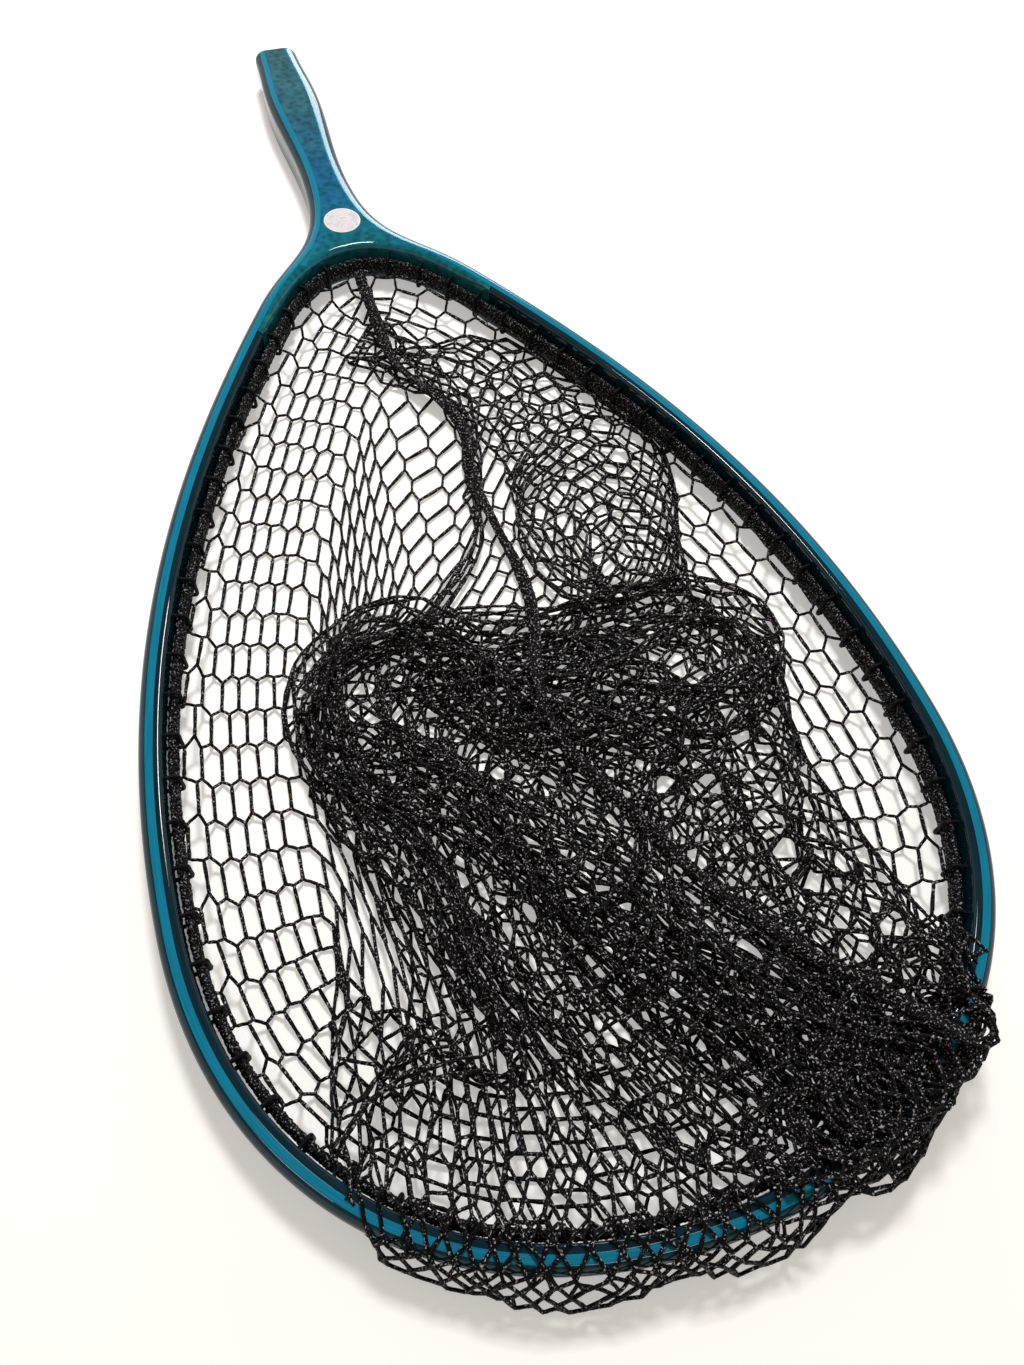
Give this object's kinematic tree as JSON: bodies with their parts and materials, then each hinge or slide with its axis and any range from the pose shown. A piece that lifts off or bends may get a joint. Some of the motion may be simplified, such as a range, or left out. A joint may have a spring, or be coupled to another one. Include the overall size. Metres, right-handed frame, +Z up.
{
  "type": "landing net",
  "caption": "Hand landing net lying flat: teardrop hoop of bent wood strips on a short burl handle, braided head band tied inside it, and a limp mesh bag drawn over the tip.",
  "frame": {"origin": "middle of the whole footprint, on the table that the net lies on", "axes": "+Y along the handle from the hoop's tip to the butt, +Z up through the mouth of the hoop, +X to the right seen from above with the handle away"},
  "size_m": [0.293, 0.619, 0.0233],
  "materials": {
    "outer_strip": "dark teal-dyed straight-grained strip under high-gloss lacquer",
    "middle_strip": "bright blue-dyed strip under high-gloss lacquer",
    "inner_strip": "dark teal-dyed strip under high-gloss lacquer",
    "burl": "mottled blue-green dyed burl under high-gloss lacquer",
    "pearl": "polished pale pearl inlay",
    "braid": "black braided nylon",
    "tie_cord": "black twisted nylon cord",
    "netting": "black knotless hexagonal netting of twisted nylon"
  },
  "bodies": {
    "root": {"outer_lamination": "outer_strip", "middle_lamination": "middle_strip", "inner_lamination": "inner_strip", "handle_block": "burl", "inlay_disc": "pearl", "head_band": "braid", "lacing_tie_01": "tie_cord", "lacing_tie_02": "tie_cord", "lacing_tie_03": "tie_cord", "lacing_tie_04": "tie_cord", "lacing_tie_05": "tie_cord", "lacing_tie_06": "tie_cord", "lacing_tie_07": "tie_cord", "lacing_tie_08": "tie_cord", "lacing_tie_09": "tie_cord", "lacing_tie_10": "tie_cord", "lacing_tie_11": "tie_cord", "lacing_tie_12": "tie_cord", "lacing_tie_13": "tie_cord", "lacing_tie_14": "tie_cord", "lacing_tie_15": "tie_cord", "lacing_tie_16": "tie_cord", "lacing_tie_17": "tie_cord", "lacing_tie_18": "tie_cord", "lacing_tie_19": "tie_cord", "lacing_tie_20": "tie_cord", "lacing_tie_21": "tie_cord", "lacing_tie_22": "tie_cord", "lacing_tie_23": "tie_cord", "lacing_tie_24": "tie_cord", "lacing_tie_25": "tie_cord", "lacing_tie_26": "tie_cord", "lacing_tie_27": "tie_cord", "lacing_tie_28": "tie_cord", "lacing_tie_29": "tie_cord", "lacing_tie_30": "tie_cord", "lacing_tie_31": "tie_cord", "lacing_tie_32": "tie_cord", "lacing_tie_33": "tie_cord", "net_bag": "netting", "bag_end": "netting", "seam_lacing": "tie_cord"}
  },
  "joints": []
}
